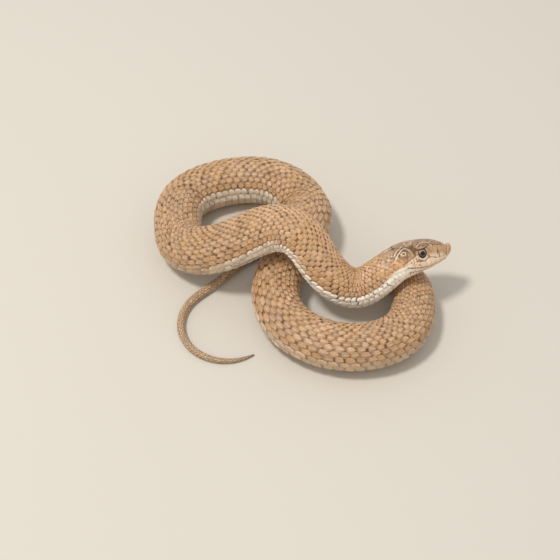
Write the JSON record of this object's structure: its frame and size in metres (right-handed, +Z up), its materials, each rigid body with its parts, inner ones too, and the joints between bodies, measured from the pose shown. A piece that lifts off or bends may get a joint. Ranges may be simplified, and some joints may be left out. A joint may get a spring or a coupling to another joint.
{
  "type": "coiled snake",
  "caption": "Life-size coiled snake at rest, head raised over its own coil, with keeled sandy scales, pale belly, upturned snout and a thin tail hooked out to one side.",
  "frame": {"origin": "centre of the bounding box on the ground", "axes": "+Z up, +X along the head's lie to the right of the usual view, +Y away from the viewer"},
  "size_m": [0.1546, 0.1398, 0.0532],
  "materials": {
    "body_scales": "dry keeled scales, sandy tan with pale edges and dark flecks, cream on the belly",
    "head_scales": "smooth head plates, grey-brown crown with a dark temple mark and cream lips",
    "jaw_scales": "smooth cream chin and throat scales",
    "eye": "wet gloss, dark round pupil in a brown iris"
  },
  "bodies": {
    "root": {"head": "head_scales", "lower_jaw": "jaw_scales", "eye_left": "eye", "eye_right": "eye", "neck": "body_scales", "trunk_crossing": "body_scales", "trunk_descent": "body_scales", "trunk_upper_left": "body_scales", "trunk_upper_far": "body_scales", "trunk_upper_right": "body_scales", "trunk_underpass": "body_scales", "trunk_lower_left": "body_scales", "trunk_lower_near": "body_scales", "trunk_lower_right": "body_scales", "tail_root": "body_scales", "tail_underpass": "body_scales", "tail_hook": "body_scales", "tail_tip": "body_scales"}
  },
  "joints": []
}
